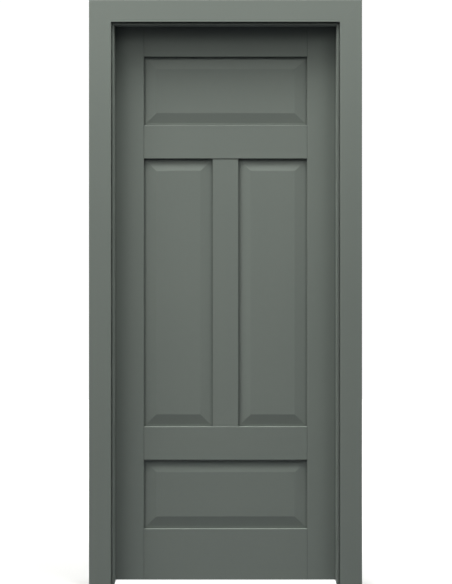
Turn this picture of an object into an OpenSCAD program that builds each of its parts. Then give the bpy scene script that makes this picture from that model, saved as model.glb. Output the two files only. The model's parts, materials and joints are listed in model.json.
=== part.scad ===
// Interior door in its frame: a stile and rail leaf with raised panels, hung on three barrel hinges.
// Seen from the side that the door is pushed from, +X is right, +Y is into the doorway and +Z is up.
// The origin is on the floor, in the middle of the frame's width and of the whole depth.

/* [Doorway] */
// Clear width between the two stops
clear_w = 802; // [602:1:1002]
// Clear height from the floor to the head stop
clear_h = 2018; // [1918:1:2118]
// Gap between the floor and the leaf
floor_gap = 5; // [3:0.5:12]

/* [Frame] */
// Thickness of the jambs, stop included
jamb_t = 35; // [34:0.5:45]
// Depth from the front casing's face to the front edge of the jambs
jamb_setback = 11; // [11:0.5:30]
// Depth from the front edge of the jambs to the leaf
reveal_d = 60; // [50:1:200]
// Width of the rebate that takes the leaf
rebate_w = 11; // [9:0.5:14]
// Gap between the leaf's lip and the back edge of the jambs
lip_gap = 2; // [1:0.5:3]
// Small chamfer on the front edge of the jambs
jamb_arris = 0.75; // [0.5:0.25:2]

/* [Casings] */
// Width of the front casing's face
casing_w = 80; // [60:1:100]
// Thickness of the casing boards
casing_t = 10; // [8:0.5:11]
// Width of the jamb's edge that shows inside the front casing
edge_show = 11; // [9:0.5:14]
// Thickness of the front casing's tongue
tongue_t = 8; // [6:0.5:10]
// Length of the front casing's tongue inside the jamb
tongue_l = 30; // [15:1:32]
// Thickness of the back casing's tongue
back_tongue_t = 6; // [4:0.5:7]
// Length of the back casing's tongue inside the jamb
back_tongue_l = 3.5; // [2:0.25:4]
// Width of the shadow gap between the jamb's visible edge and the front casing
shadow_gap_w = 2; // [0.5:0.25:3]
// Depth of the shadow gap
shadow_gap_d = 6; // [2:0.5:12]
// Chamfer on the casings' visible edges
casing_arris = 0.75; // [0.5:0.25:3]

/* [Leaf] */
// Thickness of the leaf
leaf_t = 40; // [38:0.5:50]
// Thickness of the lip that laps over the frame
lip_t = 15; // [13:0.5:18]
// Width of the lip beyond the leaf's body
lip_w = 12; // [9:0.5:14]
// Gap between the leaf's body and the rebate
edge_gap = 3.5; // [2.5:0.25:4.5]
// Chamfer on the leaf's outer edges
lip_arris = 1; // [0.5:0.25:2]
// Face width of the stiles
stile_w = 110.5; // [95:0.5:140]
// Face width of the muntin between the two tall panels
muntin_w = 92; // [70:1:130]
// Face height of the top rail
top_rail_h = 115; // [95:1:150]
// Face height of the rail under the top panel
upper_cross_h = 120; // [90:1:160]
// Face height of the rail under the tall panels
lower_cross_h = 119.5; // [90:0.5:160]
// Face height of the bottom rail
bottom_rail_h = 184; // [120:1:240]
// Height of the top panel's opening
top_panel_h = 251; // [180:1:320]
// Height of the bottom panel's opening
bottom_panel_h = 252.5; // [180:0.5:320]
// Chamfer along the edges of the stiles, rails and muntin
arris = 1.25; // [0.75:0.25:4]

/* [Panels] */
// Thickness of the panels' tongues
panel_edge_t = 20; // [16:0.5:26]
// Depth of the grooves that hold the panels
groove_d = 12; // [8:0.5:15]
// Reach of the panels' tongues into the grooves
panel_reach = 10; // [6:0.5:11.5]
// Play of the tongues and tenons across the grooves, each side
groove_play = 0.2; // [0.1:0.05:0.3]
// Flat margin round each panel, inside its groove
margin_w = 8; // [5:0.5:15]
// Width of the sloping bevel
bevel_w = 36; // [20:1:45]
// Depth of the raised field below the leaf's face
field_drop = 5; // [1:0.25:6.5]

/* [Joinery] */
// Radius of the dowels
dowel_r = 5; // [4:0.5:6]
// Length of the dowels
dowel_l = 90; // [60:1:110]
// Radius of the corner screws' shanks
corner_screw_r = 3; // [2:0.25:3.5]
// Length of the corner screws
corner_screw_l = 60; // [40:1:80]
// Radius of the holes for the wall screws
fixing_r = 3; // [2:0.25:3.5]

/* [Seal] */
// Gap between the stop and the leaf, filled by the seal
seal_gap = 3; // [2.5:0.25:5]
// Width of the kerf that holds the seal
kerf_w = 3; // [2:0.25:4]
// Depth of the kerf
kerf_d = 6; // [4:0.5:8]
// Distance from the stop's edge to the middle of the kerf
kerf_in = 5; // [4:0.25:6]
// Width of the seal's head
seal_w = 6; // [5:0.25:7]

/* [Hinges] */
// Radius of the knuckles
knuckle_r = 7; // [6:0.25:8]
// Length of each knuckle
knuckle_l = 40; // [30:1:55]
// Radius of the pins
pin_r = 4; // [3:0.25:4.5]
// Wall of the bushes that run on the pins
bush_t = 1.2; // [0.8:0.1:1.4]
// Thickness of the washers between the knuckles
washer_t = 2; // [1:0.25:3]
// Radius of the studs that hold the hinges
stud_r = 3; // [2.5:0.25:3.5]
// Distance between the two studs of a knuckle
stud_pitch = 22; // [14:1:24]
// Length of the studs inside the wood
stud_l = 42; // [25:1:60]
// Distance from the leaf's ends to the outer hinges
hinge_end = 230; // [150:1:300]
// Depth of the hinge axis inside the leaf's back face
axis_in = 6; // [5:0.25:7]

/* [Catch] */
// Height of the catch above the floor
catch_z = 1050; // [900:1:1150]
// Radius of the catch's roller
roller_r = 5.5; // [4.5:0.25:5.75]
// Height of the roller
roller_h = 14; // [10:0.5:18]
// Reach of the roller into the strike plate
roller_bite = 2; // [1:0.25:2.5]
// Radius of the roller's axle
axle_r = 2; // [1.5:0.25:2.25]
// Length of the catch's case
case_l = 36; // [34:1:50]
// Width of the face plate and the strike plate
plate_w = 18; // [17:0.5:20]
// Height of the face plate and the strike plate
plate_h = 80; // [70:1:110]
// Thickness of the face plate and the strike plate
plate_t = 2.5; // [2:0.25:3]
// Shank radius of the plates' screws
plate_screw_r = 1.75; // [1.5:0.25:2]
// Length of the plates' screws
plate_screw_l = 18; // [14:0.5:20]

/* [Hidden] */
$fn = 48;
paint = [0.41, 0.45, 0.41];
steel = [0.66, 0.67, 0.68];
rubber = [0.13, 0.13, 0.13];
nylon = [0.85, 0.84, 0.8];
beech = [0.8, 0.66, 0.46];

// Overrun of every cut, running clearance of turning fits and clearance of parts that are driven home
over = 1;
run_fit = 0.05;
seat_fit = 0.1;
// Clearance of pieces that slide or slip into place
slip_fit = 0.25;
// Gap between a knuckle and the lip, and between a knuckle and its washer
knuckle_gap = 0.5;
washer_gap = 0.1;
// Chamfer on the free ends of the knuckles, and the closed end behind a pin
knuckle_arris = 1.5;
knuckle_end = 4;
// Spare depth at the bottom of grooves and blind holes
spare = 1;
// Clearance between the seal and the leaf, width of the seal's nose and height of its shoulders
seal_clear = 0.3;
seal_nose_w = 2.5;
seal_shoulder = 1;
// Wall of the catch's case, then the carriage's fork arms, shoulders, web and guide rod
case_wall = 1.6;
arm_t = 3;
arm_half = 3;
shoulder_h = 3;
web_t = 6;
guide_r = 2;
guide_l = 10;
// Roller clearance in its fork, radius of the spring's turns, its wire, its turns and their facets
roller_clear = 0.5;
coil_r = 3.6;
wire_r = 0.5;
coil_turns = 5;
coil_steps = 12;
wire_sides = 6;
// Half angle of the countersunk heads, and the head, recess and tip of a screw as shares of its radius
sink_angle = 45;
head_share = 2;
slot_share = 0.3;
tip_share = 2;
// Where fixings and screws sit along what carries them
fixing_shares = [0.2, 0.8];
corner_screw_shares = [0.25, 0.72];
dowel_shares = [0.27, 0.73];
plate_screw_share = 0.39;

// Depths, from the front casing's face backwards
hinge_back = reveal_d + jamb_setback + leaf_t - axis_in + knuckle_r;
total_d = max(hinge_back, reveal_d + jamb_setback + leaf_t);
y_casing = -total_d / 2;
y_jamb = y_casing + jamb_setback;
y_leaf = y_jamb + reveal_d;
y_stop = y_leaf - seal_gap;
y_back = y_leaf + leaf_t;
y_mid = y_leaf + leaf_t / 2;
y_lip = y_back - lip_t;
y_jamb_back = y_lip - lip_gap;
y_axis = y_back - axis_in;
y_edge = (y_leaf + y_lip) / 2;
y_tongue = y_jamb_back - (casing_t + back_tongue_t) / 2;

// Half widths from the middle of the doorway outwards
half_w = clear_w / 2;
x_rebate = half_w + rebate_w;
x_body = x_rebate - edge_gap;
x_lip = x_body + lip_w;
x_face = x_body - stile_w;
x_wall = x_face - arris;
x_axis = x_lip + knuckle_gap + knuckle_r;
casing_out = edge_show + casing_w;

// Heights of the leaf, its rails' face edges and the openings between them
z_foot = floor_gap;
z_body = clear_h + rebate_w - edge_gap;
z_lip = z_body + lip_w;
z_low_a = z_foot + bottom_rail_h;
z_low_b = z_low_a + bottom_panel_h;
z_mid_a = z_low_b + lower_cross_h;
z_top_b = z_body - top_rail_h;
z_top_a = z_top_b - top_panel_h;
z_mid_b = z_top_a - upper_cross_h;
muntin_half = muntin_w / 2;

groove_t = panel_edge_t + 2 * groove_play;
tenon_l = groove_d - spare;
field_t = leaf_t - 2 * field_drop;
bevel_rise = (field_t - panel_edge_t) / 2;
hinge_zs = [z_foot + hinge_end, (z_foot + z_body) / 2, z_body - hinge_end];
bush_r = pin_r + run_fit + bush_t;
pin_l = 2 * (knuckle_l - knuckle_end) + washer_t;
knuckle_lift = washer_t / 2 + washer_gap;
frame_stud_reach = y_axis - y_jamb_back + stud_l;
leaf_stud_reach = x_axis - x_lip + stud_l;

// Catch, along X from the leaf's edge inwards
x_plate = x_body - plate_t;
x_roller = x_rebate + roller_bite - roller_r;
roller_gap_h = roller_h + 2 * roller_clear;
fork_half_h = roller_gap_h / 2 + arm_t;
carriage_half_h = fork_half_h + shoulder_h;
carriage_half_w = roller_r + slip_fit;
cavity_half_w = carriage_half_w + slip_fit;
cavity_half_h = carriage_half_h + slip_fit;
x_case_in = x_plate - case_l + case_wall;
x_web = x_roller - roller_r - roller_clear;
x_carriage = x_web - web_t;

// Frame sections, as distance outwards from the stop against depth

function jamb_section() = [
    [jamb_arris, y_jamb],
    [edge_show - shadow_gap_w, y_jamb],
    [edge_show - shadow_gap_w, y_jamb + shadow_gap_d],
    [edge_show - slip_fit, y_jamb + shadow_gap_d],
    [edge_show - slip_fit, y_jamb + tongue_l + spare],
    [edge_show + tongue_t + slip_fit, y_jamb + tongue_l + spare],
    [edge_show + tongue_t + slip_fit, y_jamb],
    [jamb_t, y_jamb],
    [jamb_t, y_tongue - slip_fit],
    [jamb_t - back_tongue_l - slip_fit, y_tongue - slip_fit],
    [jamb_t - back_tongue_l - slip_fit, y_tongue + back_tongue_t + slip_fit],
    [jamb_t, y_tongue + back_tongue_t + slip_fit],
    [jamb_t, y_jamb_back],
    [rebate_w, y_jamb_back],
    [rebate_w, y_stop],
    [kerf_in + kerf_w / 2, y_stop],
    [kerf_in + kerf_w / 2, y_stop - kerf_d],
    [kerf_in - kerf_w / 2, y_stop - kerf_d],
    [kerf_in - kerf_w / 2, y_stop],
    [0, y_stop],
    [0, y_jamb + jamb_arris]];

function front_casing_section() = [
    [edge_show + casing_arris, y_casing],
    [casing_out - casing_arris, y_casing],
    [casing_out, y_casing + casing_arris],
    [casing_out, y_casing + casing_t],
    [edge_show + tongue_t, y_casing + casing_t],
    [edge_show + tongue_t, y_jamb + tongue_l],
    [edge_show, y_jamb + tongue_l],
    [edge_show, y_casing + casing_arris]];

function back_casing_section() = [
    [jamb_t, y_jamb_back - casing_t],
    [casing_out, y_jamb_back - casing_t],
    [casing_out, y_jamb_back - casing_arris],
    [casing_out - casing_arris, y_jamb_back],
    [jamb_t, y_jamb_back],
    [jamb_t, y_tongue + back_tongue_t],
    [jamb_t - back_tongue_l, y_tongue + back_tongue_t],
    [jamb_t - back_tongue_l, y_tongue],
    [jamb_t, y_tongue]];

function seal_section() = [
    [kerf_in - kerf_w / 2 + seat_fit, y_stop - kerf_d + seat_fit],
    [kerf_in + kerf_w / 2 - seat_fit, y_stop - kerf_d + seat_fit],
    [kerf_in + kerf_w / 2 - seat_fit, y_stop],
    [kerf_in + seal_w / 2, y_stop],
    [kerf_in + seal_w / 2, y_stop + seal_shoulder],
    [kerf_in + seal_nose_w / 2, y_leaf - seal_clear],
    [kerf_in - seal_nose_w / 2, y_leaf - seal_clear],
    [kerf_in - seal_w / 2, y_stop + seal_shoulder],
    [kerf_in - seal_w / 2, y_stop],
    [kerf_in - kerf_w / 2 + seat_fit, y_stop]];

// Upright and head of the frame, mitred where they meet. side is -1 on the hinge side and 1 on the latch side

module on_side(side) {
    mirror([side < 0 ? 1 : 0, 0, 0]) children();
}

module mitre_half(upper) {
    reach = casing_out + over;
    translate([half_w, 0, clear_h]) rotate([90, 0, 0])
        linear_extrude(height = 2 * total_d, center = true)
            polygon([[-over, -over], [reach, reach], upper ? [-over, reach] : [reach, -over]]);
}

module upright(side, section) {
    on_side(side) difference() {
        translate([half_w, 0, 0]) linear_extrude(height = clear_h + casing_out) polygon(section);
        mitre_half(true);
    }
}

module head(section) {
    difference() {
        translate([0, 0, clear_h]) rotate([0, -90, 0])
            linear_extrude(height = clear_w + 2 * casing_out, center = true) polygon(section);
        for (side = [-1, 1]) on_side(side) mitre_half(false);
    }
}

// Members of the leaf, as width against depth

function reversed(points) = [for (i = [len(points) - 1 : -1 : 0]) points[i]];

// A grooved and chamfered edge, from the front face to the back; way is 1 where the edge faces outwards
function worked_edge(w, way) = [
    [w, y_leaf],
    [w + way * arris, y_leaf + arris],
    [w + way * arris, y_mid - groove_t / 2],
    [w + way * (arris - groove_d), y_mid - groove_t / 2],
    [w + way * (arris - groove_d), y_mid + groove_t / 2],
    [w + way * arris, y_mid + groove_t / 2],
    [w + way * arris, y_back - arris],
    [w, y_back]];

// A rebated edge with its lip along the back, and the plain foot of the leaf
function lipped_edge(w) = [
    [w, y_leaf],
    [w, y_lip],
    [w + lip_w, y_lip],
    [w + lip_w, y_back - lip_arris],
    [w + lip_w - lip_arris, y_back]];

function plain_edge(w) = [[w, y_leaf], [w, y_back]];

module along_x(length, section) {
    rotate([0, -90, 0]) linear_extrude(height = length, center = true) polygon(section);
}

module mid_board(x_half, z_a, z_b, thickness) {
    translate([-x_half, y_mid - thickness / 2, z_a]) cube([2 * x_half, thickness, z_b - z_a]);
}

module rail(low_edge, high_edge, tenon_a, tenon_b) {
    difference() {
        union() {
            along_x(2 * x_wall, concat(high_edge, reversed(low_edge)));
            mid_board(x_wall + tenon_l, tenon_a, tenon_b, panel_edge_t);
        }
        dowels(dowel_r + seat_fit, dowel_l + 2 * spare);
    }
}

module dowel_pair(z_a, z_b, radius, length) {
    for (side = [-1, 1], share = dowel_shares)
        translate([side * x_wall, y_mid, z_a + share * (z_b - z_a)]) rotate([0, 90, 0])
            cylinder(h = length, r = radius, center = true);
}

module dowels(radius, length) {
    dowel_pair(z_foot, z_low_a, radius, length);
    dowel_pair(z_low_b, z_mid_a, radius, length);
    dowel_pair(z_mid_b, z_top_a, radius, length);
    dowel_pair(z_top_b, z_body, radius, length);
    for (z = [z_mid_a + arris, z_mid_b - arris], share = dowel_shares)
        translate([-muntin_half + share * muntin_w, y_mid, z])
            cylinder(h = length, r = radius, center = true);
}

module stile(side) {
    difference() {
        on_side(side) translate([0, 0, z_foot]) linear_extrude(height = z_lip - z_foot)
            polygon(concat(lipped_edge(x_body), reversed(worked_edge(x_face, -1))));
        translate([-x_lip - over, y_leaf - over, z_body])
            cube([2 * (x_lip + over), y_lip - y_leaf + over, lip_w + over]);
        dowels(dowel_r + seat_fit, dowel_l + 2 * spare);
    }
}

// A raised panel, centred, with a bevel and a flat margin on all sides of both faces
module raised_panel(x_a, x_b, z_a, z_b) {
    width = x_b - x_a + 2 * panel_reach;
    height = z_b - z_a + 2 * panel_reach;
    bevel_in = panel_reach + margin_w;
    cut = [[-over, -over], [bevel_in + bevel_w, -over], [bevel_in + bevel_w, 0],
        [bevel_in, bevel_rise], [-over, bevel_rise]];
    translate([(x_a + x_b) / 2, y_mid, (z_a + z_b) / 2]) difference() {
        cube([width, field_t, height], center = true);
        for (face = [0, 1], end = [0, 1]) mirror([0, face, 0]) {
            mirror([end, 0, 0]) translate([-width / 2, -field_t / 2, 0])
                linear_extrude(height = height + 2 * over, center = true) polygon(cut);
            mirror([0, 0, end]) translate([0, -field_t / 2, -height / 2])
                along_x(width + 2 * over, cut);
        }
    }
}

// Hinges: the frame's knuckle is below, the leaf's knuckle stands on it over a washer

module knuckle(way) {
    mirror([0, 0, way < 0 ? 1 : 0]) translate([0, 0, knuckle_lift]) rotate_extrude()
        polygon([[0, 0], [knuckle_r, 0], [knuckle_r, knuckle_l - knuckle_arris],
            [knuckle_r - knuckle_arris, knuckle_l], [0, knuckle_l]]);
}

module at_hinge(z) {
    translate([-x_axis, y_axis, z]) children();
}

module hinge_bore(way, radius) {
    depth = knuckle_l - knuckle_end + knuckle_lift;
    mirror([0, 0, way < 0 ? 1 : 0]) cylinder(h = depth, r = radius);
}

module studs(way, radius, length) {
    for (step = [-1, 1])
        translate([0, 0, way * (knuckle_lift + knuckle_l / 2) + step * stud_pitch / 2])
            rotate(way < 0 ? [90, 0, 0] : [0, 90, 0]) cylinder(h = length, r = radius);
}

module frame_hinge(z) {
    at_hinge(z) difference() {
        union() {
            knuckle(-1);
            studs(-1, stud_r, frame_stud_reach);
        }
        hinge_bore(-1, pin_r + run_fit);
    }
}

module leaf_hinge(z) {
    at_hinge(z) difference() {
        union() {
            knuckle(1);
            studs(1, stud_r, leaf_stud_reach);
        }
        hinge_bore(1, bush_r + run_fit);
    }
}

module stud_holes(way, reach) {
    for (z = hinge_zs) at_hinge(z) studs(way, stud_r + seat_fit, reach + spare);
}

// Countersunk screws lie along +X with the head flush at zero

module screw_shape(radius, shank_l, clear) {
    head_r = radius * head_share;
    head_l = (head_r - radius) / tan(sink_angle);
    rotate([0, 90, 0]) {
        cylinder(h = head_l, r1 = head_r + clear, r2 = radius + clear);
        cylinder(h = shank_l, r = radius + clear);
    }
}

module screw_hole(radius, length) {
    screw_shape(radius, length + spare, seat_fit);
}

module screw(radius, length) {
    slot_w = radius * slot_share;
    tip_l = radius * tip_share;
    difference() {
        union() {
            screw_shape(radius, length - tip_l, 0);
            translate([length - tip_l, 0, 0]) rotate([0, 90, 0]) cylinder(h = tip_l, r1 = radius, r2 = 0);
        }
        for (turn = [0, 90]) rotate([turn, 0, 0])
            translate([-over, -slot_w, -radius]) cube([over + radius, 2 * slot_w, 2 * radius]);
    }
}

module at_corner_screws() {
    y_from = y_jamb + tongue_l + spare;
    y_to = y_jamb_back - casing_t;
    for (side = [-1, 1], share = corner_screw_shares) on_side(side)
        translate([half_w + jamb_t, y_from + share * (y_to - y_from), clear_h + jamb_t / 2])
            mirror([1, 0, 0]) children();
}

module corner_screw_holes() {
    at_corner_screws() screw_hole(corner_screw_r, corner_screw_l);
}

module wall_fixing_holes(side) {
    y_fixing = (y_stop + y_jamb_back - casing_t) / 2;
    for (share = fixing_shares) on_side(side)
        translate([x_rebate - over, y_fixing, share * clear_h]) rotate([0, 90, 0])
            cylinder(h = jamb_t, r = fixing_r);
}

// Roller catch in the latch stile, and its strike plate in the latch jamb

module at_catch(x) {
    translate([x, y_edge, catch_z]) children();
}

// A block from x_a to x_b, centred on the catch
module catch_block(x_a, x_b, half_y, half_z) {
    at_catch(x_a) translate([0, -half_y, -half_z]) cube([x_b - x_a, 2 * half_y, 2 * half_z]);
}

module at_plate_screws(x) {
    for (step = [-1, 1]) at_catch(x) translate([0, 0, step * plate_screw_share * plate_h]) children();
}

module strike_window(x_a, x_b) {
    nose_half = sqrt(roller_r * roller_r - pow(roller_r - roller_bite, 2));
    catch_block(x_a, x_b, nose_half + roller_clear, roller_h / 2 + roller_clear);
}

// Frame pieces

module hinge_jamb() {
    color(paint) difference() {
        upright(-1, jamb_section());
        stud_holes(-1, frame_stud_reach);
        corner_screw_holes();
        wall_fixing_holes(-1);
    }
}

module latch_jamb() {
    color(paint) difference() {
        upright(1, jamb_section());
        corner_screw_holes();
        wall_fixing_holes(1);
        catch_block(x_rebate - over, x_rebate + plate_t, plate_w / 2 + slip_fit, plate_h / 2 + slip_fit);
        strike_window(x_rebate, x_rebate + plate_t + roller_bite);
        at_plate_screws(x_rebate) screw_hole(plate_screw_r, plate_screw_l);
    }
}

module head_jamb() {
    color(paint) difference() {
        head(jamb_section());
        corner_screw_holes();
    }
}

module front_casing_hinge_side() { color(paint) upright(-1, front_casing_section()); }
module front_casing_latch_side() { color(paint) upright(1, front_casing_section()); }
module front_casing_head() { color(paint) head(front_casing_section()); }
module back_casing_hinge_side() { color(paint) upright(-1, back_casing_section()); }
module back_casing_latch_side() { color(paint) upright(1, back_casing_section()); }
module back_casing_head() { color(paint) head(back_casing_section()); }
module seal_hinge_side() { color(rubber) upright(-1, seal_section()); }
module seal_latch_side() { color(rubber) upright(1, seal_section()); }
module seal_head() { color(rubber) head(seal_section()); }

module corner_screws() {
    color(steel) at_corner_screws() screw(corner_screw_r, corner_screw_l);
}

module frame_hinge_bottom() { color(steel) frame_hinge(hinge_zs[0]); }
module frame_hinge_middle() { color(steel) frame_hinge(hinge_zs[1]); }
module frame_hinge_top() { color(steel) frame_hinge(hinge_zs[2]); }

module hinge_pins() {
    color(steel) for (z = hinge_zs) at_hinge(z) cylinder(h = pin_l, r = pin_r, center = true);
}

module hinge_washers() {
    color(nylon) for (z = hinge_zs) at_hinge(z) difference() {
        cylinder(h = washer_t, r = knuckle_r, center = true);
        cylinder(h = washer_t + 2 * over, r = pin_r + run_fit, center = true);
    }
}

module strike_plate() {
    color(steel) difference() {
        catch_block(x_rebate, x_rebate + plate_t, plate_w / 2, plate_h / 2);
        strike_window(x_rebate - over, x_rebate + plate_t + over);
        at_plate_screws(x_rebate) screw_hole(plate_screw_r, plate_screw_l);
    }
}

module strike_screws() {
    color(steel) at_plate_screws(x_rebate) screw(plate_screw_r, plate_screw_l);
}

// Leaf pieces

module hinge_stile() {
    color(paint) difference() {
        stile(-1);
        stud_holes(1, leaf_stud_reach);
    }
}

module latch_stile() {
    color(paint) difference() {
        stile(1);
        catch_block(x_plate, x_body + over, plate_w / 2 + slip_fit, plate_h / 2 + slip_fit);
        catch_block(x_plate - case_l - spare, x_body, cavity_half_w + case_wall + slip_fit,
            cavity_half_h + case_wall + slip_fit);
        at_plate_screws(x_body) mirror([1, 0, 0]) screw_hole(plate_screw_r, plate_screw_l);
    }
}

module top_rail() {
    inset = groove_d - arris;
    color(paint) rail(worked_edge(z_top_b, -1), lipped_edge(z_body), z_top_b + inset, z_body - inset);
}

module upper_cross_rail() {
    inset = groove_d - arris;
    color(paint) rail(worked_edge(z_mid_b, -1), worked_edge(z_top_a, 1), z_mid_b + inset, z_top_a - inset);
}

module lower_cross_rail() {
    inset = groove_d - arris;
    color(paint) rail(worked_edge(z_low_b, -1), worked_edge(z_mid_a, 1), z_low_b + inset, z_mid_a - inset);
}

module bottom_rail() {
    inset = groove_d - arris;
    color(paint) rail(plain_edge(z_foot), worked_edge(z_low_a, 1), z_foot + inset, z_low_a - inset);
}

module muntin() {
    z_a = z_mid_a + arris;
    z_b = z_mid_b - arris;
    color(paint) difference() {
        union() {
            translate([0, 0, z_a]) linear_extrude(height = z_b - z_a)
                polygon(concat(worked_edge(muntin_half, 1), reversed(worked_edge(-muntin_half, -1))));
            mid_board(muntin_half - groove_d + arris, z_a - tenon_l, z_b + tenon_l, panel_edge_t);
        }
        dowels(dowel_r + seat_fit, dowel_l + 2 * spare);
    }
}

module top_panel() {
    color(paint) raised_panel(-x_wall, x_wall, z_top_a + arris, z_top_b - arris);
}

module left_panel() {
    color(paint) raised_panel(-x_wall, -muntin_half - arris, z_mid_a + arris, z_mid_b - arris);
}

module right_panel() {
    color(paint) raised_panel(muntin_half + arris, x_wall, z_mid_a + arris, z_mid_b - arris);
}

module bottom_panel() {
    color(paint) raised_panel(-x_wall, x_wall, z_low_a + arris, z_low_b - arris);
}

module joint_dowels() { color(beech) dowels(dowel_r, dowel_l); }

module leaf_hinge_bottom() { color(steel) leaf_hinge(hinge_zs[0]); }
module leaf_hinge_middle() { color(steel) leaf_hinge(hinge_zs[1]); }
module leaf_hinge_top() { color(steel) leaf_hinge(hinge_zs[2]); }

module hinge_bushes() {
    bush_l = knuckle_l - knuckle_end;
    color(nylon) for (z = hinge_zs) at_hinge(z) translate([0, 0, knuckle_lift]) difference() {
        cylinder(h = bush_l, r = bush_r);
        translate([0, 0, -over]) cylinder(h = bush_l + 2 * over, r = pin_r + run_fit);
    }
}

module catch_case() {
    color(steel) difference() {
        catch_block(x_plate - case_l, x_plate, cavity_half_w + case_wall, cavity_half_h + case_wall);
        catch_block(x_case_in, x_plate + over, cavity_half_w, cavity_half_h);
    }
}

module catch_face_plate() {
    color(steel) difference() {
        catch_block(x_plate, x_body, plate_w / 2, plate_h / 2);
        catch_block(x_plate - over, x_body + over, cavity_half_w, fork_half_h + slip_fit);
        at_plate_screws(x_body) mirror([1, 0, 0]) screw_hole(plate_screw_r, plate_screw_l);
    }
}

module catch_screws() {
    color(steel) at_plate_screws(x_body) mirror([1, 0, 0]) screw(plate_screw_r, plate_screw_l);
}

// The carriage slides in the case. Its fork holds the roller, its shoulders stop behind the face plate
module catch_carriage() {
    color(steel) difference() {
        union() {
            catch_block(x_carriage, x_web, carriage_half_w, carriage_half_h);
            catch_block(x_carriage, x_roller, arm_half, fork_half_h);
            at_catch(x_roller) cylinder(h = 2 * fork_half_h, r = arm_half, center = true);
            for (end = [0, 1]) at_catch(x_carriage) mirror([0, 0, end])
                translate([0, -carriage_half_w, fork_half_h])
                    cube([x_plate - seat_fit - x_carriage, 2 * carriage_half_w, shoulder_h]);
            at_catch(x_carriage) rotate([0, -90, 0]) cylinder(h = guide_l, r = guide_r);
        }
        catch_block(x_web, x_body + roller_r, carriage_half_w, roller_gap_h / 2);
        at_catch(x_roller) cylinder(h = 2 * (fork_half_h + over), r = axle_r + run_fit, center = true);
    }
}

module roller_axle() {
    color(steel) at_catch(x_roller) cylinder(h = 2 * fork_half_h, r = axle_r, center = true);
}

// A wire coil between the case's end and the carriage, swept as rings of points along a helix
module catch_spring() {
    coil_l = x_carriage - x_case_in - 2 * seat_fit;
    rings = coil_turns * coil_steps;
    climb = (coil_l - 2 * wire_r) / rings;
    points = [for (i = [0 : rings], k = [0 : wire_sides - 1])
        let (turn = 360 * i / coil_steps, round = 360 * k / wire_sides, r = coil_r + wire_r * cos(round))
            [r * cos(turn), r * sin(turn), wire_r + climb * i + wire_r * sin(round)]];
    walls = [for (i = [0 : rings - 1], k = [0 : wire_sides - 1], half = [0, 1])
        let (a = i * wire_sides + k, b = i * wire_sides + (k + 1) % wire_sides)
            half == 0 ? [a, b, b + wire_sides] : [a, b + wire_sides, a + wire_sides]];
    start = [for (k = [wire_sides - 1 : -1 : 0]) k];
    finish = [for (k = [0 : wire_sides - 1]) rings * wire_sides + k];
    color(steel) at_catch(x_case_in + seat_fit) rotate([0, 90, 0])
        polyhedron(points = points, faces = concat(walls, [start, finish]));
}

module catch_roller() {
    color(nylon) at_catch(x_roller) difference() {
        cylinder(h = roller_h, r = roller_r, center = true);
        cylinder(h = roller_h + 2 * over, r = axle_r + run_fit, center = true);
    }
}

hinge_jamb();
latch_jamb();
head_jamb();
front_casing_hinge_side();
front_casing_latch_side();
front_casing_head();
back_casing_hinge_side();
back_casing_latch_side();
back_casing_head();
seal_hinge_side();
seal_latch_side();
seal_head();
corner_screws();
frame_hinge_bottom();
frame_hinge_middle();
frame_hinge_top();
hinge_pins();
hinge_washers();
strike_plate();
strike_screws();
hinge_stile();
latch_stile();
top_rail();
upper_cross_rail();
lower_cross_rail();
bottom_rail();
muntin();
top_panel();
left_panel();
right_panel();
bottom_panel();
joint_dowels();
leaf_hinge_bottom();
leaf_hinge_middle();
leaf_hinge_top();
hinge_bushes();
catch_case();
catch_face_plate();
catch_screws();
catch_carriage();
roller_axle();
catch_spring();
catch_roller();
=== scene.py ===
"""Interior door in its frame: finishes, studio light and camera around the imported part."""

import json
import math

import bpy
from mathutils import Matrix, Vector


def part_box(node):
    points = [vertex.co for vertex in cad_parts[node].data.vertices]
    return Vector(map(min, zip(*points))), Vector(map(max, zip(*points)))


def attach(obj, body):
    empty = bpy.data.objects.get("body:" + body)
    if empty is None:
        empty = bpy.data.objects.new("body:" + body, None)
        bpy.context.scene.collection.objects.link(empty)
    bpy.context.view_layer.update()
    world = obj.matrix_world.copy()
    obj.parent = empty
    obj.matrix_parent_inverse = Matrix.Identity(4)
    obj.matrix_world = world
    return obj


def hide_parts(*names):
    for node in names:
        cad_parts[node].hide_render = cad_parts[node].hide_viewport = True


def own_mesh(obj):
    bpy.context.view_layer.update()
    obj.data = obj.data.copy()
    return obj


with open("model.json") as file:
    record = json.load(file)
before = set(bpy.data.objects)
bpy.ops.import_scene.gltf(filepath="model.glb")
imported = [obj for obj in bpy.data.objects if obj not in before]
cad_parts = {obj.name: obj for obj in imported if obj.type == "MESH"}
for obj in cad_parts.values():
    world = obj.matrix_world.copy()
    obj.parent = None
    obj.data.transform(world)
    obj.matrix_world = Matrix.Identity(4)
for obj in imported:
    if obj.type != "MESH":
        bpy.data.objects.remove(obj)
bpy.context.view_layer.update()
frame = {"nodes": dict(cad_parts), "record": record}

# The photograph's height in pixels, and the scale of the leaf's face in it
IMAGE_H = 584
METRES_PER_PIXEL = 0.003644

# Camera, level and square to the door
SENSOR = 36.0
FOCAL_PIXELS = 1718.0
HORIZON_ROW = 210.0
LEAF_FOOT_ROW = 579.5
LEAF_FOOT_Z = 0.005
CAMERA_X = 0.0018
CAMERA_Y = -6.2445

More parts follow.
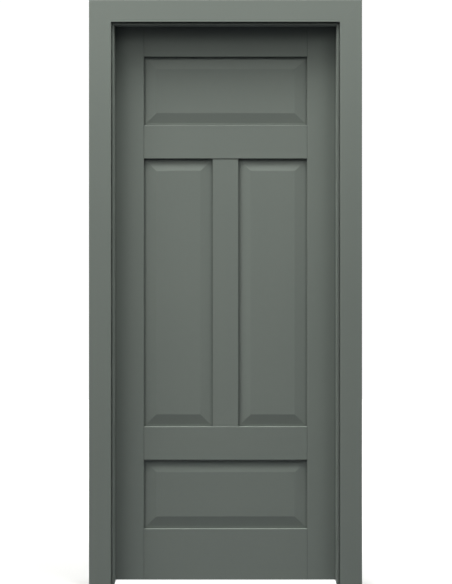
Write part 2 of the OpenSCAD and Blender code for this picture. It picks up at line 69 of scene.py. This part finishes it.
# Colours, linear
PAINT = (0.150, 0.172, 0.1525, 1.0)
PAINT_DEEP = (0.143, 0.165, 0.147, 1.0)
# Painted shade for the corners that other faces close in
PAINT_CORNER_SHADE = (0.085, 0.099, 0.087, 1.0)
# Painted shade that dims the highlights on the small chamfers
PAINT_CHAMFER_SHADE = (0.105, 0.121, 0.107, 1.0)
BOARD_PALE = (0.47, 0.37, 0.26, 1.0)
BOARD_DARK = (0.37, 0.27, 0.175, 1.0)
RUBBER = (0.018, 0.018, 0.019, 1.0)
RUBBER_DUSTY = (0.040, 0.040, 0.040, 1.0)
NICKEL = (0.64, 0.63, 0.61, 1.0)
NICKEL_DARK = (0.49, 0.48, 0.47, 1.0)
ZINC = (0.60, 0.61, 0.62, 1.0)
ZINC_DARK = (0.44, 0.45, 0.47, 1.0)
NYLON = (0.72, 0.70, 0.64, 1.0)
NYLON_SHADE = (0.62, 0.60, 0.54, 1.0)
BEECH = (0.55, 0.37, 0.21, 1.0)
BEECH_DARK = (0.40, 0.25, 0.13, 1.0)
FLOOR = (0.33, 0.33, 0.33, 1.0)
FLOOR_SHADE = (0.32, 0.32, 0.32, 1.0)
WHITE = (1.0, 1.0, 1.0, 1.0)

# Paint: its refraction, its rounded edges, and its grain along and across the boards
PAINT_IOR = 1.46
PAINT_EDGE_R = 0.0008
GRAIN_ALONG = 4.0
GRAIN_ACROSS = 190.0

# Painted shade in the corners: how far it reaches from them, how dark it gets, and the openness where it
# is darkest and where it ends
CORNER_SHADE_REACH = 0.010
CORNER_SHADE_DEPTH = 0.80
CORNER_SHADE_CLOSED = 0.45
CORNER_SHADE_OPEN = 0.90

# Largest part of a unit normal: 0.71 on the chamfers, 0.99 or more on flats and the panels' bevels; the
# painted shade on the chamfers fades out between these values
CHAMFER_SURE = 0.75
CHAMFER_NONE = 0.95

# Wood at the wall is bare where a face's normal lies along the wall side by this much
BARE_NONE = 0.90
BARE_SURE = 0.98

# Metals: their metallic share, their rounded edges, and the tool marks and roughness of each
METAL_SHARE = 0.65
METAL_EDGE_R = 0.0004
NICKEL_MARKS = (60.0, 60.0, 4200.0)
NICKEL_ROUGH = (0.40, 0.54)
ZINC_MARKS = (900.0, 900.0, 900.0)
ZINC_ROUGH = (0.40, 0.56)

# Nylon: its rounded edges, its turning marks, and the light that enters it
NYLON_EDGE_R = 0.0003
NYLON_MARKS = (20.0, 20.0, 2600.0)
NYLON_SCATTER = 0.08
NYLON_SCATTER_DEPTH = 0.002

# Beech: its grain and its flecks, drawn out along the dowels
BEECH_GRAIN = (40.0, 900.0, 900.0)
BEECH_FLECKS = (300.0, 1600.0, 1600.0)

# Most of a noise lies between these values
NOISE_LOW = 0.3
NOISE_HIGH = 0.7

# Places of the colour sockets on a mix node
MIX_FIRST = 6
MIX_SECOND = 7
MIX_RESULT = 2

# Floor: its half width, and its depth below the foot of the frame
FLOOR_HALF = 6.0
FLOOR_DROP = 0.0005

# The floor's own glow, painted light that whitens the floor and its shadows, rises with the distance
# from a place on the hinge side, behind the door
FLOOR_CENTRE = (-0.45, 0.10, 0.0)
FLOOR_GLOW_NEAR = 0.15
FLOOR_GLOW_FAR = 1.0
FLOOR_NEAR = 0.6
FLOOR_FAR = 2.4

# The strip of floor under the leaf, between the jambs, glows as white as the floor far away: a painted
# pool of light
SILL_HALF_W = 0.395
SILL_MIDDLE_Y = -0.012
SILL_HALF_D = 0.045
SILL_FADE = 0.01

# The muntin's faces lie behind the rails' faces by this much, chamfers within the skin included
MUNTIN_SET_BACK = 0.0015
MUNTIN_SKIN = 0.003

# The catch's spring: its wire, its turns, and the facets of both
SPRING_WIRE_R = 0.0005
SPRING_TURNS = 5
SPRING_TURN_STEPS = 40
SPRING_WIRE_SIDES = 12

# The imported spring's wire has six sides, so its box holds only this share of the radius along the coil
SPRING_WIRE_SHOWN = 0.866

# Soft boxes round the door: name, azimuth and elevation in degrees, size in metres, power in watts.
# Azimuth 0 is straight in front of the door, and minus is on the hinge side
SOFT_BOXES = [
    ("low_left", -72.0, 25.0, 2.0, 60.0),
    ("front_left", -36.0, 33.0, 3.6, 55.0),
    ("front_right", 36.0, 40.0, 2.0, 40.0),
    ("side_left", -72.0, 55.0, 2.0, 125.0),
    ("high_front", -36.0, 58.0, 3.6, 60.0),
    ("high_left", -54.0, 62.0, 2.0, 145.0),
    ("high_right", 54.0, 58.0, 3.6, 125.0),
    ("top_left", -54.0, 72.0, 2.0, 145.0),
    ("top_far_left", -72.0, 70.0, 2.0, 145.0),
    ("top_right", 54.0, 72.0, 2.0, 215.0),
    ("top_far_right", 72.0, 70.0, 2.0, 115.0),
    ("fill_left", -104.0, 28.0, 2.0, 60.0),
    ("fill_right", 104.0, 28.0, 2.0, 130.0),
    ("back_left", -140.0, 40.0, 3.6, 300.0),
    ("back_right", 145.0, 34.0, 3.6, 195.0),
]
BOX_COLOUR = (1.0, 1.0, 0.98)
BOX_TARGET = Vector((0.0, -0.06, 1.05))
BOX_DISTANCE = 6.0

# Light that the floor in front of the door throws back up
BOUNCE_POWER = 16.0
BOUNCE_SIZE = 4.0
BOUNCE_COLOUR = (0.98, 0.99, 1.10)
BOUNCE_PLACE = (0.0, -1.6, 0.002)
UP = Vector((0.0, 0.0, 1.0))

# Brightness of the backdrop
BACKDROP_STRENGTH = 1.05

# Pieces whose boards lie level; the others stand upright
LEVEL_NODES = {
    "head_jamb", "front_casing_head", "back_casing_head",
    "top_rail", "upper_cross_rail", "lower_cross_rail", "bottom_rail",
    "top_panel", "bottom_panel",
}

# Frame pieces with the side that lies against the wall
WALL_SIDES = {
    "hinge_jamb": (-1.0, 0.0, 0.0),
    "latch_jamb": (1.0, 0.0, 0.0),
    "head_jamb": (0.0, 0.0, 1.0),
    "front_casing_hinge_side": (0.0, 1.0, 0.0),
    "front_casing_latch_side": (0.0, 1.0, 0.0),
    "front_casing_head": (0.0, 1.0, 0.0),
    "back_casing_hinge_side": (0.0, -1.0, 0.0),
    "back_casing_latch_side": (0.0, -1.0, 0.0),
    "back_casing_head": (0.0, -1.0, 0.0),
}


def add_node(tree, kind, **settings):
    """A new node with its settings."""
    node = tree.nodes.new(kind)
    for key, value in settings.items():
        setattr(node, key, value)
    return node


def start_material(name):
    """A new material with its tree and principled shader."""
    material = bpy.data.materials.new(name)
    material.use_nodes = True
    return material, material.node_tree, material.node_tree.nodes["Principled BSDF"]


def dress(tree, shader, tone, rough, normal=None):
    """Links a colour, a roughness and a normal to the shader."""
    tree.links.new(tone, shader.inputs["Base Color"])
    tree.links.new(rough, shader.inputs["Roughness"])
    if normal is not None:
        tree.links.new(normal, shader.inputs["Normal"])


def part_coordinates(tree, scale=(1.0, 1.0, 1.0)):
    """Positions on the part in metres, stretched by scale."""
    source = add_node(tree, "ShaderNodeTexCoord")
    mapping = add_node(tree, "ShaderNodeMapping")
    mapping.inputs["Scale"].default_value = scale
    tree.links.new(source.outputs["Object"], mapping.inputs["Vector"])
    return mapping.outputs["Vector"]


def part_normals(tree):
    """The way each face of the part looks."""
    return add_node(tree, "ShaderNodeTexCoord").outputs["Normal"]


def noise(tree, vector, scale, detail=3.0, roughness=0.5):
    """Fractal noise along a vector."""
    node = add_node(tree, "ShaderNodeTexNoise")
    node.inputs["Scale"].default_value = scale
    node.inputs["Detail"].default_value = detail
    node.inputs["Roughness"].default_value = roughness
    tree.links.new(vector, node.inputs["Vector"])
    return node.outputs["Fac"]


def spread(tree, value, low, high, start=NOISE_LOW, end=NOISE_HIGH):
    """Maps a value from start..end to low..high."""
    node = add_node(tree, "ShaderNodeMapRange")
    node.inputs["From Min"].default_value = start
    node.inputs["From Max"].default_value = end
    node.inputs["To Min"].default_value = low
    node.inputs["To Max"].default_value = high
    tree.links.new(value, node.inputs["Value"])
    return node.outputs["Result"]


def calculate(tree, operation, *values):
    """The result of a sum on sockets and plain numbers."""
    node = add_node(tree, "ShaderNodeMath", operation=operation)
    for socket, value in zip(node.inputs, values):
        if isinstance(value, float):
            socket.default_value = value
        else:
            tree.links.new(value, socket)
    return node.outputs["Value"]


def blend_colours(tree, share, first, second):
    """A colour between two colours or colour sockets."""
    node = add_node(tree, "ShaderNodeMix", data_type="RGBA")
    tree.links.new(share, node.inputs["Factor"])
    for place, colour in ((MIX_FIRST, first), (MIX_SECOND, second)):
        if isinstance(colour, tuple):
            node.inputs[place].default_value = colour
        else:
            tree.links.new(colour, node.inputs[place])
    return node.outputs[MIX_RESULT]


def soft_edges(tree, radius):
    """A normal that rounds the edges by radius."""
    node = add_node(tree, "ShaderNodeBevel", samples=4)
    node.inputs["Radius"].default_value = radius
    return node.outputs["Normal"]


def bump(tree, height, distance, strength, normal=None):
    """A normal raised by height."""
    node = add_node(tree, "ShaderNodeBump")
    node.inputs["Distance"].default_value = distance
    node.inputs["Strength"].default_value = strength
    tree.links.new(height, node.inputs["Height"])
    if normal is not None:
        tree.links.new(normal, node.inputs["Normal"])
    return node.outputs["Normal"]


def arris_mask(tree):
    """Where the small chamfers are painted in shade: one on them, and zero on the flats and the panels'
    bevels.
    """
    way = add_node(tree, "ShaderNodeSeparateXYZ")
    tree.links.new(part_normals(tree), way.inputs["Vector"])
    sizes = [calculate(tree, "ABSOLUTE", way.outputs[axis]) for axis in "XYZ"]
    level = calculate(tree, "MAXIMUM", sizes[0], sizes[1])
    largest = calculate(tree, "MAXIMUM", level, sizes[2])
    return spread(tree, largest, low=1.0, high=0.0, start=CHAMFER_SURE, end=CHAMFER_NONE)


def corner_shade_mask(tree):
    """Painted shade: rises from zero in the corners that other faces close in."""
    node = add_node(tree, "ShaderNodeAmbientOcclusion", samples=8)
    node.inputs["Distance"].default_value = CORNER_SHADE_REACH
    openness = node.outputs["AO"]
    return spread(tree, openness, low=CORNER_SHADE_DEPTH, high=0.0, start=CORNER_SHADE_CLOSED, end=CORNER_SHADE_OPEN)


def facing(tree, side):
    """One on the faces of the piece that look along side and zero on the others."""
    dot = add_node(tree, "ShaderNodeVectorMath", operation="DOT_PRODUCT")
    dot.inputs[1].default_value = side
    tree.links.new(part_normals(tree), dot.inputs[0])
    return spread(tree, dot.outputs["Value"], low=0.0, high=1.0, start=BARE_NONE, end=BARE_SURE)


def bare_board(tree, grain_scale):
    """The colour of planed softwood: growth rings drawn out along the board, with fine pores."""
    rings = noise(tree, part_coordinates(tree, grain_scale), scale=0.35, roughness=0.55)
    pores = noise(tree, part_coordinates(tree, grain_scale), scale=4.0, detail=2.0)
    ring_share = spread(tree, rings, low=0.0, high=1.0, start=0.38, end=0.62)
    tone = blend_colours(tree, ring_share, BOARD_PALE, BOARD_DARK)
    return blend_colours(tree, spread(tree, pores, low=0.0, high=0.4), tone, BOARD_DARK)


def painted_surface(tree, shader, grain_scale, bare_side):
    """Satin paint on boards: clouded tone, faint grain, painted shade in corners and on the chamfers, a
    sprayed skin, and bare wood at the wall.
    """
    points = part_coordinates(tree)
    grain = noise(tree, part_coordinates(tree, grain_scale), scale=1.0, detail=4.0, roughness=0.6)
    skin = noise(tree, points, scale=620.0, detail=2.0)
    clouds = noise(tree, points, scale=2.6)
    patches = noise(tree, points, scale=38.0)
    tone = blend_colours(tree, spread(tree, clouds, low=0.0, high=1.0), PAINT, PAINT_DEEP)
    tone = blend_colours(tree, spread(tree, grain, low=0.0, high=0.35), tone, PAINT_DEEP)
    # Painted shade darkens the corners, where the door's own shade falls
    tone = blend_colours(tree, corner_shade_mask(tree), tone, PAINT_CORNER_SHADE)
    # Painted shade, in patches, dims the highlights on the small chamfers
    chamfer_shade = calculate(tree, "MULTIPLY", arris_mask(tree), spread(tree, patches, low=0.7, high=1.0))
    tone = blend_colours(tree, chamfer_shade, tone, PAINT_CHAMFER_SHADE)
    rough = spread(tree, patches, low=0.50, high=0.62)
    if bare_side is not None:
        bare = facing(tree, bare_side)
        tone = blend_colours(tree, bare, tone, bare_board(tree, grain_scale))
        rough = spread(tree, bare, low=0.56, high=0.75, start=0.0, end=1.0)
    shader.inputs["IOR"].default_value = PAINT_IOR
    normal = soft_edges(tree, PAINT_EDGE_R)
    normal = bump(tree, grain, distance=0.00008, strength=0.35, normal=normal)
    normal = bump(tree, skin, distance=0.00012, strength=0.5, normal=normal)
    dress(tree, shader, tone, rough, normal)


def paint_material(name, level, bare_side=None):
    """Paint whose grain runs along the board, on all its faces but the one along bare_side."""
    material, tree, shader = start_material(name)
    if level:
        grain_scale = (GRAIN_ALONG, GRAIN_ACROSS, GRAIN_ACROSS)
    else:
        grain_scale = (GRAIN_ACROSS, GRAIN_ACROSS, GRAIN_ALONG)
    painted_surface(tree, shader, grain_scale, bare_side)
    return material


def rubber_material():
    """Extruded black rubber with a dusty bloom."""
    material, tree, shader = start_material("rubber")
    points = part_coordinates(tree)
    bloom = noise(tree, points, scale=60.0, detail=4.0)
    grit = noise(tree, points, scale=1800.0, detail=2.0)
    tone = blend_colours(tree, spread(tree, bloom, low=0.0, high=1.0), RUBBER, RUBBER_DUSTY)
    rough = spread(tree, bloom, low=0.62, high=0.80)
    normal = bump(tree, grit, distance=0.00006, strength=0.4)
    dress(tree, shader, tone, rough, normal)
    return material


def metal_material(name, bright, dark, marks_scale, rough_range):
    """Metal with fine tool marks and small smudges."""
    material, tree, shader = start_material(name)
    marks = noise(tree, part_coordinates(tree, marks_scale), scale=1.0, roughness=0.6)
    smudges = noise(tree, part_coordinates(tree), scale=55.0, detail=4.0)
    tone = blend_colours(tree, spread(tree, smudges, low=0.0, high=0.7), bright, dark)
    tone = blend_colours(tree, spread(tree, marks, low=0.0, high=0.35), tone, dark)
    rough = spread(tree, marks, *rough_range)
    shader.inputs["Metallic"].default_value = METAL_SHARE
    normal = soft_edges(tree, METAL_EDGE_R)
    normal = bump(tree, marks, distance=0.00003, strength=0.5, normal=normal)
    dress(tree, shader, tone, rough, normal)
    return material


def nylon_material():
    """Turned nylon, slightly waxy."""
    material, tree, shader = start_material("nylon")
    clouds = noise(tree, part_coordinates(tree), scale=90.0)
    marks = noise(tree, part_coordinates(tree, NYLON_MARKS), scale=1.0, detail=2.0)
    tone = blend_colours(tree, spread(tree, clouds, low=0.0, high=1.0), NYLON, NYLON_SHADE)
    rough = spread(tree, clouds, low=0.36, high=0.50)
    shader.inputs["Subsurface Weight"].default_value = NYLON_SCATTER
    shader.inputs["Subsurface Scale"].default_value = NYLON_SCATTER_DEPTH
    normal = soft_edges(tree, NYLON_EDGE_R)
    normal = bump(tree, marks, distance=0.00003, strength=0.4, normal=normal)
    dress(tree, shader, tone, rough, normal)
    return material


def beech_material():
    """Bare beech dowel, grain along the dowel with short flecks."""
    material, tree, shader = start_material("beech")
    grain = noise(tree, part_coordinates(tree, BEECH_GRAIN), scale=1.0, detail=4.0, roughness=0.65)
    flecks = noise(tree, part_coordinates(tree, BEECH_FLECKS), scale=1.0, detail=2.0)
    tone = blend_colours(tree, spread(tree, grain, low=0.0, high=1.0), BEECH, BEECH_DARK)
    fleck_share = spread(tree, flecks, low=0.0, high=0.5, start=0.55, end=0.75)
    tone = blend_colours(tree, fleck_share, tone, BEECH_DARK)
    rough = spread(tree, grain, low=0.55, high=0.70)
    normal = bump(tree, grain, distance=0.00008, strength=0.5)
    dress(tree, shader, tone, rough, normal)
    return material


def sill_strip(tree, points):
    """One on the strip of floor under the leaf and zero round it."""
    place = add_node(tree, "ShaderNodeSeparateXYZ")
    tree.links.new(points, place.inputs["Vector"])
    from_middle = calculate(tree, "SUBTRACT", place.outputs["Y"], SILL_MIDDLE_Y)
    across = calculate(tree, "ABSOLUTE", place.outputs["X"])
    along = calculate(tree, "ABSOLUTE", from_middle)
    wide = spread(tree, across, low=1.0, high=0.0, start=SILL_HALF_W, end=SILL_HALF_W + SILL_FADE)
    deep = spread(tree, along, low=1.0, high=0.0, start=SILL_HALF_D, end=SILL_HALF_D + SILL_FADE)
    return calculate(tree, "MULTIPLY", wide, deep)


def floor_glow(tree, points):
    """The floor's glow, painted light which rises away from the door and on the strip under the leaf."""
    away = add_node(tree, "ShaderNodeVectorMath", operation="DISTANCE")
    away.inputs[1].default_value = FLOOR_CENTRE
    tree.links.new(points, away.inputs[0])
    reach = away.outputs["Value"]
    glow = spread(tree, reach, FLOOR_GLOW_NEAR, FLOOR_GLOW_FAR, start=FLOOR_NEAR, end=FLOOR_FAR)
    return calculate(tree, "ADD", glow, sill_strip(tree, points))


def floor_material():
    """Plain pale studio floor whose painted glow runs out to white away from the door."""
    material, tree, shader = start_material("floor")
    points = part_coordinates(tree)
    clouds = noise(tree, points, scale=0.8)
    tone = blend_colours(tree, spread(tree, clouds, low=0.0, high=1.0), FLOOR, FLOOR_SHADE)
    rough = spread(tree, clouds, low=0.6, high=0.7)
    dress(tree, shader, tone, rough)
    shader.inputs["Emission Color"].default_value = WHITE
    tree.links.new(floor_glow(tree, points), shader.inputs["Emission Strength"])
    return material


def finish_nodes():
    """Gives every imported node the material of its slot."""
    leaf_paint = {
        False: paint_material("paint_upright", False),
        True: paint_material("paint_level", True),
    }
    frame_paint = {
        name: paint_material("paint_" + name, name in LEVEL_NODES, side)
        for name, side in WALL_SIDES.items()
    }
    slots = {
        "rubber_seal": rubber_material(),
        "hinge_steel": metal_material("nickel", NICKEL, NICKEL_DARK, NICKEL_MARKS, NICKEL_ROUGH),
        "fitting_steel": metal_material("zinc", ZINC, ZINC_DARK, ZINC_MARKS, ZINC_ROUGH),
        "nylon": nylon_material(),
        "beech": beech_material(),
    }
    for part in frame["record"]["subparts"]:
        name = part["node"]
        painted = frame_paint.get(name, leaf_paint[name in LEVEL_NODES])
        mesh = frame["nodes"][name].data
        mesh.materials.clear()
        mesh.materials.append(slots.get(part["material_slot"], painted))


def place_object(name, data):
    """A new object in the scene."""
    item = bpy.data.objects.new(name, data)
    bpy.context.scene.collection.objects.link(item)
    return item


def set_back_muntin():
    """The muntin with its faces a little behind the rails' faces, which shade its head."""
    low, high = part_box("muntin")
    mesh = frame["nodes"]["muntin"].data.copy()
    mesh.name = "muntin_set_back"
    for vertex in mesh.vertices:
        if vertex.co.y < low[1] + MUNTIN_SKIN:
            vertex.co.y += MUNTIN_SET_BACK
        elif vertex.co.y > high[1] - MUNTIN_SKIN:
            vertex.co.y -= MUNTIN_SET_BACK
    piece = place_object("muntin_set_back", mesh)
    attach(piece, "leaf")
    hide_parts("muntin")


def coil_points(first_x, last_x, middle_y, middle_z, turn_r):
    """Rings of points round the coil's wire, from its first end to its last."""
    rings = SPRING_TURNS * SPRING_TURN_STEPS
    points = []
    for ring in range(rings + 1):
        turn = 2 * math.pi * ring / SPRING_TURN_STEPS
        centre_x = first_x + (last_x - first_x) * ring / rings
        for side in range(SPRING_WIRE_SIDES):
            around = 2 * math.pi * side / SPRING_WIRE_SIDES
            radius = turn_r + SPRING_WIRE_R * math.cos(around)
            place_x = centre_x + SPRING_WIRE_R * math.sin(around)
            place_y = middle_y + radius * math.sin(turn)
            place_z = middle_z - radius * math.cos(turn)
            points.append((place_x, place_y, place_z))
    return points


def coil_faces():
    """Faces between the rings round the coil's wire, and one on each of its ends."""
    rings = SPRING_TURNS * SPRING_TURN_STEPS
    faces = []
    for ring in range(rings):
        for side in range(SPRING_WIRE_SIDES):
            first = ring * SPRING_WIRE_SIDES + side
            second = ring * SPRING_WIRE_SIDES + (side + 1) % SPRING_WIRE_SIDES
            faces.append((second, first, first + SPRING_WIRE_SIDES, second + SPRING_WIRE_SIDES))
    faces.append(tuple(range(SPRING_WIRE_SIDES)))
    faces.append(tuple(rings * SPRING_WIRE_SIDES + side for side in reversed(range(SPRING_WIRE_SIDES))))
    return faces


def add_catch_spring(material):
    """The catch's wire coil, riding with the leaf in place of the imported spring."""
    low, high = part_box("catch_spring")
    turn_r = (high[2] - low[2]) / 2 - SPRING_WIRE_R
    middle_y = (low[1] + high[1]) / 2
    middle_z = (low[2] + high[2]) / 2
    first_x = low[0] + SPRING_WIRE_R * SPRING_WIRE_SHOWN
    last_x = high[0] - SPRING_WIRE_R * SPRING_WIRE_SHOWN
    mesh = bpy.data.meshes.new("catch_coil")
    mesh.from_pydata(coil_points(first_x, last_x, middle_y, middle_z, turn_r), [], coil_faces())
    mesh.shade_smooth()
    mesh.materials.append(material)
    coil = place_object("catch_coil", mesh)
    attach(coil, "leaf")
    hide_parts("catch_spring")
    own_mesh(coil)


def add_floor():
    """A pale floor under the door, not part of it."""
    ways = ((-1, -1), (1, -1), (1, 1), (-1, 1))
    corners = [(x * FLOOR_HALF, y * FLOOR_HALF, -FLOOR_DROP) for x, y in ways]
    mesh = bpy.data.meshes.new("floor")
    mesh.from_pydata(corners, [], [(0, 1, 2, 3)])
    mesh.materials.append(floor_material())
    floor = place_object("floor", mesh)
    # The floor's glow does not light the door: the light called floor_bounce does
    floor.visible_diffuse = False
    floor.visible_glossy = False


def add_camera():
    """A level camera square to the door, shifted down to the photograph's frame."""
    data = bpy.data.cameras.new("camera")
    data.sensor_width = SENSOR
    data.lens = FOCAL_PIXELS / IMAGE_H * SENSOR
    data.shift_y = (HORIZON_ROW - IMAGE_H / 2) / IMAGE_H
    camera = place_object("camera", data)
    height = LEAF_FOOT_Z + (LEAF_FOOT_ROW - HORIZON_ROW) * METRES_PER_PIXEL
    camera.location = (CAMERA_X, CAMERA_Y, height)
    camera.rotation_euler = (math.radians(90.0), 0.0, 0.0)
    bpy.context.scene.camera = camera


def add_light(name, size, power, place, aim, colour):
    """One square area light at place, shining along aim."""
    data = bpy.data.lights.new(name, "AREA")
    data.shape = "SQUARE"
    data.size = size
    data.energy = power
    data.color = colour
    # Boxes that overlap do not hide one another
    data.cycles.use_multiple_importance_sampling = False
    light = place_object(name, data)
    light.location = place
    light.rotation_euler = aim.to_track_quat("-Z", "Y").to_euler()
    light.visible_camera = False


def add_lights():
    """The soft boxes, and the light that the floor throws back up."""
    for name, azimuth, elevation, size, power in SOFT_BOXES:
        around = math.radians(azimuth)
        rise = math.radians(elevation)
        level = math.cos(rise)
        away = Vector((math.sin(around) * level, -math.cos(around) * level, math.sin(rise)))
        add_light(name, size, power, BOX_TARGET + away * BOX_DISTANCE, -away, BOX_COLOUR)
    add_light("floor_bounce", BOUNCE_SIZE, BOUNCE_POWER, BOUNCE_PLACE, UP, BOUNCE_COLOUR)


def add_world():
    """A white backdrop that only the camera sees, so that the lights alone light the door."""
    world = bpy.data.worlds.new("studio")
    bpy.context.scene.world = world
    world.use_nodes = True
    tree = world.node_tree
    backdrop = tree.nodes["Background"]
    backdrop.inputs["Color"].default_value = WHITE
    path = add_node(tree, "ShaderNodeLightPath")
    seen = path.outputs["Is Camera Ray"]
    strength = spread(tree, seen, low=0.0, high=BACKDROP_STRENGTH, start=0.0, end=1.0)
    tree.links.new(strength, backdrop.inputs["Strength"])


finish_nodes()
set_back_muntin()
add_catch_spring(frame["nodes"]["catch_spring"].data.materials[0])
add_floor()
add_camera()
add_lights()
add_world()
bpy.context.scene.view_settings.view_transform = "Standard"
